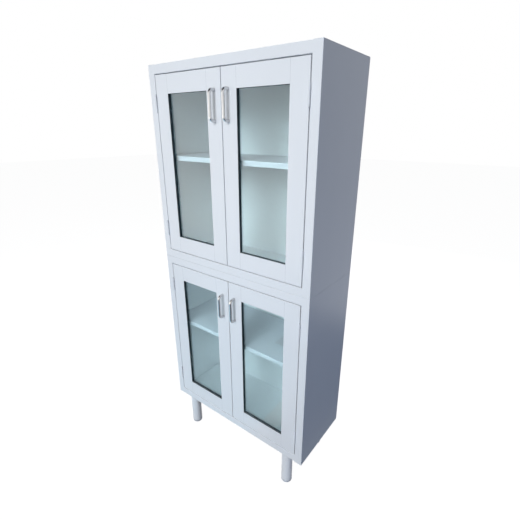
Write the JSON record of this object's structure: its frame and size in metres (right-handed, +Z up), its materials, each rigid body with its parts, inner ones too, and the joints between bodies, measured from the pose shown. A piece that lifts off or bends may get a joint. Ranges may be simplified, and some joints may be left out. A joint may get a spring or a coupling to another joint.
{
  "type": "glass door medical cabinet",
  "caption": "Tall white steel medical cabinet on round legs: stacked compartments behind framed glass doors on butt hinges, with bow handles, inner shelves and magnetic catches.",
  "frame": {"origin": "on the floor, under the middle of the overall width and of the overall depth from handles to back panel", "axes": "+Z up, doors and handles face -Y, the hinges of the right-hand doors are on the +X side"},
  "size_m": [0.8, 0.3714, 1.8003],
  "materials": {
    "white_paint": "cool white baked paint, semi-gloss",
    "clear_glass": "clear float glass with a faint blue-green tint",
    "black_rubber": "matt black extruded rubber",
    "bright_chrome": "polished chrome plate",
    "foot_plastic": "off-white moulded plastic",
    "catch_plastic": "dark moulded plastic round plain steel poles",
    "zinc_plate": "bright zinc plate"
  },
  "bodies": {
    "carcass": {"lower_left_side": "white_paint", "lower_right_side": "white_paint", "lower_back_panel": "white_paint", "lower_floor_panel": "white_paint", "lower_top_panel": "white_paint", "lower_shelf": "white_paint", "lower_left_cleat": "white_paint", "lower_right_cleat": "white_paint", "lower_catch": "catch_plastic", "upper_left_side": "white_paint", "upper_right_side": "white_paint", "upper_back_panel": "white_paint", "upper_floor_panel": "white_paint", "upper_top_panel": "white_paint", "upper_shelf": "white_paint", "upper_left_cleat": "white_paint", "upper_right_cleat": "white_paint", "upper_catch": "catch_plastic", "left_stack_bolt": "zinc_plate", "right_stack_bolt": "zinc_plate", "front_left_leg": "white_paint", "front_right_leg": "white_paint", "rear_left_leg": "white_paint", "rear_right_leg": "white_paint", "front_left_foot": "foot_plastic", "front_right_foot": "foot_plastic", "rear_left_foot": "foot_plastic", "rear_right_foot": "foot_plastic", "lower_left_top_hinge_frame_half": "white_paint", "lower_left_bottom_hinge_frame_half": "white_paint", "lower_right_top_hinge_frame_half": "white_paint", "lower_right_bottom_hinge_frame_half": "white_paint", "upper_left_top_hinge_frame_half": "white_paint", "upper_left_bottom_hinge_frame_half": "white_paint", "upper_right_top_hinge_frame_half": "white_paint", "upper_right_bottom_hinge_frame_half": "white_paint"},
    "lower_left_door": {"lower_left_door_frame": "white_paint", "lower_left_gasket": "black_rubber", "lower_left_glass": "clear_glass", "lower_left_handle": "bright_chrome", "lower_left_top_hinge_door_half": "white_paint", "lower_left_bottom_hinge_door_half": "white_paint"},
    "lower_right_door": {"lower_right_door_frame": "white_paint", "lower_right_gasket": "black_rubber", "lower_right_glass": "clear_glass", "lower_right_handle": "bright_chrome", "lower_right_top_hinge_door_half": "white_paint", "lower_right_bottom_hinge_door_half": "white_paint"},
    "upper_left_door": {"upper_left_door_frame": "white_paint", "upper_left_gasket": "black_rubber", "upper_left_glass": "clear_glass", "upper_left_handle": "bright_chrome", "upper_left_top_hinge_door_half": "white_paint", "upper_left_bottom_hinge_door_half": "white_paint"},
    "upper_right_door": {"upper_right_door_frame": "white_paint", "upper_right_gasket": "black_rubber", "upper_right_glass": "clear_glass", "upper_right_handle": "bright_chrome", "upper_right_top_hinge_door_half": "white_paint", "upper_right_bottom_hinge_door_half": "white_paint"}
  },
  "joints": [
    {"name": "lower_left_door_hinge", "type": "hinge", "parent": "carcass", "child": "lower_left_door", "pos_m": [-0.3635, -0.15855, 0.585], "axis": [0, 0, -1], "range_deg": [0, 175]},
    {"name": "lower_right_door_hinge", "type": "hinge", "parent": "carcass", "child": "lower_right_door", "pos_m": [0.3635, -0.15855, 0.585], "axis": [0, 0, 1], "range_deg": [0, 175]},
    {"name": "upper_left_door_hinge", "type": "hinge", "parent": "carcass", "child": "upper_left_door", "pos_m": [-0.3635, -0.15855, 1.3953], "axis": [0, 0, -1], "range_deg": [0, 175]},
    {"name": "upper_right_door_hinge", "type": "hinge", "parent": "carcass", "child": "upper_right_door", "pos_m": [0.3635, -0.15855, 1.3953], "axis": [0, 0, 1], "range_deg": [0, 175]}
  ]
}
